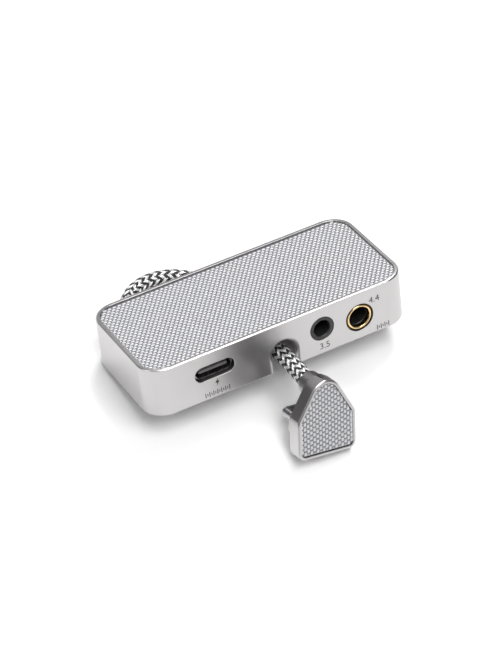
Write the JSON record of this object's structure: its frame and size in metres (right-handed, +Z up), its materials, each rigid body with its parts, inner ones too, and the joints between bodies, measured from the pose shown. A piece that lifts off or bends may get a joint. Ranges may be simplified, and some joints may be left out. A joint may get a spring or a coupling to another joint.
{
  "type": "portable usb headphone amplifier",
  "caption": "Pocket USB headphone amplifier in a satin metal case with a woven top, a braided lead looped through the case and a flat U-turn plug.",
  "frame": {"origin": "under the middle of the case, on the surface that the case and the foot of the plug stand on", "axes": "+X along the case, with the front seen square on to the right; +Y to the back, towards the looped lead; +Z up. The case leans back by about 14.5 degrees about X"},
  "size_m": [0.061, 0.0613, 0.0181],
  "materials": {
    "satin_aluminium": "bead-blasted and anodised, satin",
    "silver_weave": "plain weave of silver yarn under a clear coat",
    "adhesive": "double-sided film",
    "circuit_board": "dark green solder mask",
    "black_plastic": "moulded, satin",
    "grey_plastic": "moulded, satin",
    "chip_resin": "moulded resin",
    "gold_plate": "gold plated",
    "steel": "stamped and plated",
    "ceramic_tan": "fired, matt",
    "braid": "silver and black braided sleeve",
    "red_insulation": "extruded insulation"
  },
  "bodies": {
    "root": {"case_body": "satin_aluminium", "lid_plate": "satin_aluminium", "lid_adhesive": "adhesive", "lid_weave": "silver_weave", "main_board": "circuit_board", "usb_shell": "steel", "usb_tongue": "grey_plastic", "usb_contacts_upper": "gold_plate", "usb_contacts_lower": "gold_plate", "jack_small_body": "black_plastic", "jack_large_body": "black_plastic", "jack_large_collar": "gold_plate", "bridge_chip": "chip_resin", "converter_chip_1": "chip_resin", "converter_chip_2": "chip_resin", "amplifier_chip_1": "chip_resin", "amplifier_chip_2": "chip_resin", "clock_crystal_1": "steel", "clock_crystal_2": "steel", "power_inductor": "chip_resin", "reservoir_capacitor_1": "ceramic_tan", "reservoir_capacitor_2": "ceramic_tan", "regulator_chip": "chip_resin", "cord_grommet": "satin_aluminium", "cord_crimp": "steel", "cord_lead_1": "red_insulation", "cord_lead_2": "red_insulation", "cord": "braid", "plug_housing": "satin_aluminium", "plug_weave": "silver_weave", "plug_adhesive": "adhesive", "plug_plate": "satin_aluminium", "plug_board": "circuit_board", "plug_chip": "chip_resin", "plug_lead_1": "red_insulation", "plug_lead_2": "red_insulation", "plug_shell": "steel", "plug_insert": "black_plastic", "plug_contacts_upper": "gold_plate", "plug_contacts_lower": "gold_plate", "board_screw_1": "steel", "board_screw_2": "steel", "board_screw_3": "steel", "board_screw_4": "steel"},
    "jack_large_spring_1": {"jack_large_spring_1": "gold_plate"},
    "jack_large_spring_2": {"jack_large_spring_2": "gold_plate"},
    "jack_large_spring_3": {"jack_large_spring_3": "gold_plate"},
    "jack_large_spring_4": {"jack_large_spring_4": "gold_plate"},
    "jack_large_spring_5": {"jack_large_spring_5": "gold_plate"},
    "jack_small_spring_1": {"jack_small_spring_1": "gold_plate"},
    "jack_small_spring_2": {"jack_small_spring_2": "gold_plate"},
    "jack_small_spring_3": {"jack_small_spring_3": "gold_plate"},
    "jack_small_spring_4": {"jack_small_spring_4": "gold_plate"},
    "plug_latch_left": {"plug_latch_left": "steel"},
    "plug_latch_right": {"plug_latch_right": "steel"}
  },
  "joints": [
    {"name": "jack_large_spring_1_flex", "type": "hinge", "parent": "root", "child": "jack_large_spring_1", "pos_m": [0.02122, 0.00375, 0.00839], "axis": [0, 0.2512, 0.9679], "range_deg": [0, 5], "stiffness_Nm_per_rad": 0.01},
    {"name": "jack_large_spring_2_flex", "type": "hinge", "parent": "root", "child": "jack_large_spring_2", "pos_m": [0.01558, 0.00375, 0.00839], "axis": [0, -0.2512, -0.9679], "range_deg": [0, 5], "stiffness_Nm_per_rad": 0.01},
    {"name": "jack_large_spring_3_flex", "type": "hinge", "parent": "root", "child": "jack_large_spring_3", "pos_m": [0.02122, -0.00069, 0.008], "axis": [0, 0.2512, 0.9679], "range_deg": [0, 5], "stiffness_Nm_per_rad": 0.01},
    {"name": "jack_large_spring_4_flex", "type": "hinge", "parent": "root", "child": "jack_large_spring_4", "pos_m": [0.01558, -0.00069, 0.008], "axis": [0, -0.2512, -0.9679], "range_deg": [0, 5], "stiffness_Nm_per_rad": 0.01},
    {"name": "jack_large_spring_5_flex", "type": "hinge", "parent": "root", "child": "jack_large_spring_5", "pos_m": [0.0184, -0.00121, 0.00599], "axis": [1, 0, 0], "range_deg": [0, 5], "stiffness_Nm_per_rad": 0.01},
    {"name": "jack_small_spring_1_flex", "type": "hinge", "parent": "root", "child": "jack_small_spring_1", "pos_m": [0.01179, -0.00123, 0.01069], "axis": [0, 0.2512, 0.9679], "range_deg": [0, 5], "stiffness_Nm_per_rad": 0.01},
    {"name": "jack_small_spring_2_flex", "type": "hinge", "parent": "root", "child": "jack_small_spring_2", "pos_m": [0.00721, -0.00123, 0.01069], "axis": [0, -0.2512, -0.9679], "range_deg": [0, 5], "stiffness_Nm_per_rad": 0.01},
    {"name": "jack_small_spring_3_flex", "type": "hinge", "parent": "root", "child": "jack_small_spring_3", "pos_m": [0.01179, -0.00567, 0.01029], "axis": [0, 0.2512, 0.9679], "range_deg": [0, 5], "stiffness_Nm_per_rad": 0.01},
    {"name": "jack_small_spring_4_flex", "type": "hinge", "parent": "root", "child": "jack_small_spring_4", "pos_m": [0.00721, -0.00567, 0.01029], "axis": [0, -0.2512, -0.9679], "range_deg": [0, 5], "stiffness_Nm_per_rad": 0.01},
    {"name": "plug_latch_left_flex", "type": "hinge", "parent": "root", "child": "plug_latch_left", "pos_m": [-0.00379, -0.02746, 0.00592], "axis": [0.1569, 0.399, 0.9035], "range_deg": [0, 2], "stiffness_Nm_per_rad": 0.01},
    {"name": "plug_latch_right_flex", "type": "hinge", "parent": "root", "child": "plug_latch_right", "pos_m": [0.00232, -0.02761, 0.00493], "axis": [-0.1569, -0.399, -0.9035], "range_deg": [0, 2], "stiffness_Nm_per_rad": 0.01}
  ]
}
